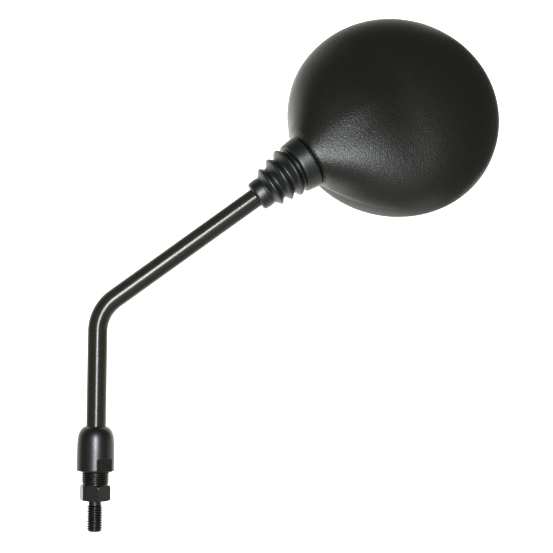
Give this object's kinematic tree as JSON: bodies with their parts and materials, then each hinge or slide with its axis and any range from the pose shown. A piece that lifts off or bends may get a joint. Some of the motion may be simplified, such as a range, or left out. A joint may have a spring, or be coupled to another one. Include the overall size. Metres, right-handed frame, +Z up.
{
  "type": "motorcycle mirror",
  "caption": "Round rear-view mirror on a bent tubular stem, with a threaded stud, a hexagon, a clamp nut and a booted ball joint behind a domed shell.",
  "frame": {"origin": "on the stud's axis, in the lower face of the hexagon, which seats on the handlebar clamp", "axes": "+Z up along the stem's lower length, +X to the side that the arm leans to, -Y to the side that the shell's domed back faces"},
  "size_m": [0.215, 0.0647, 0.2646],
  "materials": {
    "black_steel": "matt black zinc",
    "nut_black": "satin black paint",
    "stem_paint": "gloss black paint",
    "bright_steel": "turned, zinc plated",
    "spring_steel": "blued spring steel",
    "friction_fibre": "pressed fibre",
    "boot_rubber": "satin moulded rubber",
    "seat_nylon": "natural nylon",
    "shell_plastic": "black plastic with a fine moulded grain",
    "pad_foam": "closed-cell foam",
    "mirror_face": "silvered behind clear glass, slightly convex",
    "gasket_rubber": "soft black vinyl"
  },
  "bodies": {
    "base": {"base_adapter": "black_steel"},
    "nut_carriage": {"thrust_washer": "bright_steel"},
    "nut": {"clamp_nut": "nut_black"},
    "stem": {"friction_disc_lower": "friction_fibre", "friction_disc_upper": "friction_fibre", "stem_ferrule": "stem_paint", "stem_tube": "stem_paint", "ball_stud": "bright_steel"},
    "boot": {"rubber_boot": "boot_rubber"},
    "socket": {"seat_front": "seat_nylon", "seat_back": "seat_nylon"},
    "head": {"pressure_ring": "bright_steel", "disc_spring_front": "spring_steel", "disc_spring_back": "spring_steel", "preload_plug": "bright_steel", "head_shell": "shell_plastic", "glass_pad": "pad_foam", "mirror_glass": "mirror_face", "glass_gasket": "gasket_rubber"}
  },
  "joints": [
    {"name": "nut_lift", "type": "slide", "parent": "base", "child": "nut_carriage", "axis": [0, 0, 1], "range_m": [0, 0.0071]},
    {"name": "nut_turn", "type": "hinge", "parent": "nut_carriage", "child": "nut", "pos_m": [0, 0, 0.02595], "axis": [0, 0, 1], "range_deg": [0, 2520]},
    {"name": "stem_swivel", "type": "hinge", "parent": "base", "child": "stem", "pos_m": [0, 0, 0.0248], "axis": [0, 0, 1], "continuous": true},
    {"name": "head_swivel", "type": "hinge", "parent": "stem", "child": "boot", "pos_m": [0.10196, 0, 0.17072], "axis": [0.8028, 0, 0.5962], "continuous": true},
    {"name": "head_tilt", "type": "hinge", "parent": "boot", "child": "socket", "pos_m": [0.10196, 0, 0.17072], "axis": [-0.57, 0.2931, 0.7676], "range_deg": [-32.5, 7], "deforming": ["rubber_boot"]},
    {"name": "head_roll", "type": "hinge", "parent": "socket", "child": "head", "pos_m": [0.10196, 0, 0.17072], "axis": [0.8216, 0.214, 0.5284], "continuous": true}
  ],
  "couplings": [
    {"joint": "nut_lift", "follows": "nut_turn", "m_per_rad": 0.00015915}
  ]
}
